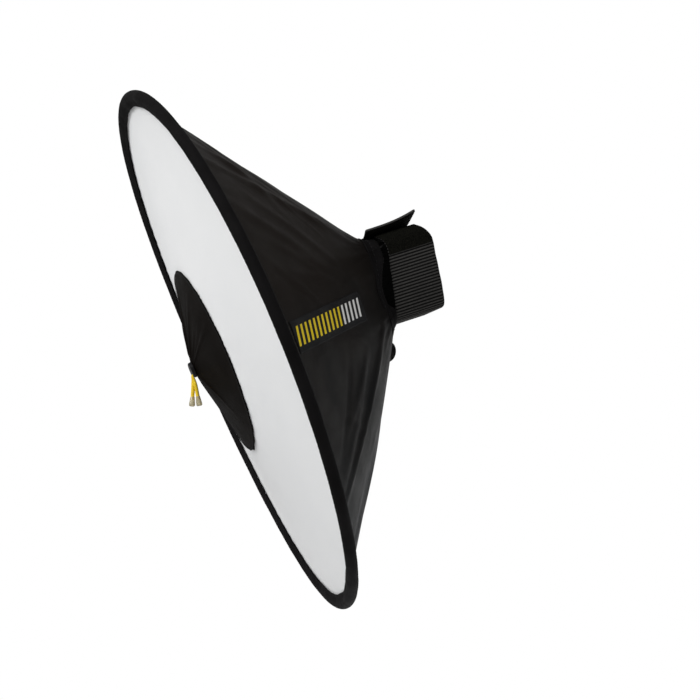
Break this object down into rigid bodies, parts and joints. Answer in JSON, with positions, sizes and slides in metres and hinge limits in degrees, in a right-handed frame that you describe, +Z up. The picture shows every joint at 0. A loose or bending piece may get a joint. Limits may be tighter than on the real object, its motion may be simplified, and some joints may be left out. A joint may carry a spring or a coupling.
{
  "type": "collapsible beauty dish",
  "caption": "Collapsible round fabric beauty dish for a hand-held flash, with a white tent-shaped front, black nose panel and elastic strap collar.",
  "frame": {"origin": "centre of the collar's mouth, on the axis of the flash head", "axes": "-Y is forward, the way the light goes; +Y points back to the flash; +Z is up; +X is the side with the label"},
  "size_m": [0.45, 0.2218, 0.4484],
  "materials": {
    "shell_satin": "satin",
    "silver_lining": "satin",
    "white_front": "satin",
    "nose_cloth": "matt",
    "binding_tape": "matt",
    "label_weave": "matt",
    "ribbed_elastic": "matt",
    "hook_and_loop": "matt",
    "webbing": "matt",
    "yellow_cord": "satin",
    "spring_steel": "satin",
    "ferrule_brass": "satin",
    "plated_metal": "gloss",
    "frame_plastic": "matt",
    "cap_plastic": "gloss",
    "clear_plastic": "gloss",
    "grip_rubber": "matt"
  },
  "bodies": {
    "collar": {"strut_upper_left": "spring_steel", "strut_upper_right": "spring_steel", "strut_lower_left": "spring_steel", "strut_lower_right": "spring_steel", "strut_sockets": "frame_plastic", "collar_frame": "frame_plastic", "frame_rivets": "plated_metal", "collar_sleeve": "binding_tape", "collar_binding": "binding_tape", "grip_pads": "grip_rubber", "cone_shell": "shell_satin", "cone_lining": "silver_lining", "label_patch": "label_weave", "strap_band": "ribbed_elastic", "strap_tabs": "binding_tape", "strap_tail": "ribbed_elastic", "strap_loop_patch": "hook_and_loop", "rear_loop": "webbing"},
    "dish": {"rim_hoop": "spring_steel", "hoop_ferrule": "ferrule_brass", "rim_binding": "binding_tape", "front_diffuser": "white_front", "nose_panel": "nose_cloth", "deflector": "silver_lining", "nose_eyelet": "plated_metal", "nose_cap": "cap_plastic", "cord_pin": "plated_metal", "strut_hub": "frame_plastic"},
    "flap": {"strap_flap": "ribbed_elastic", "flap_hook_patch": "hook_and_loop"},
    "cord": {"pull_cord": "yellow_cord", "cord_ends": "clear_plastic"}
  },
  "joints": [
    {"name": "dish_collapse", "type": "slide", "parent": "collar", "child": "dish", "axis": [0, 0.9962, 0.0872], "range_m": [0, 0.085], "deforming": ["cone_shell", "cone_lining", "label_patch", "strut_upper_left", "strut_upper_right", "strut_lower_left", "strut_lower_right"]},
    {"name": "cord_swing", "type": "hinge", "parent": "dish", "child": "cord", "pos_m": [0, -0.16194, -0.02419], "axis": [-1, 0, 0], "range_deg": [-20, 65]},
    {"name": "flap_peel", "type": "hinge", "parent": "collar", "child": "flap", "pos_m": [-0.016, 0.0036, 0.0398], "axis": [0, -1, 0], "range_deg": [0, 140]}
  ]
}
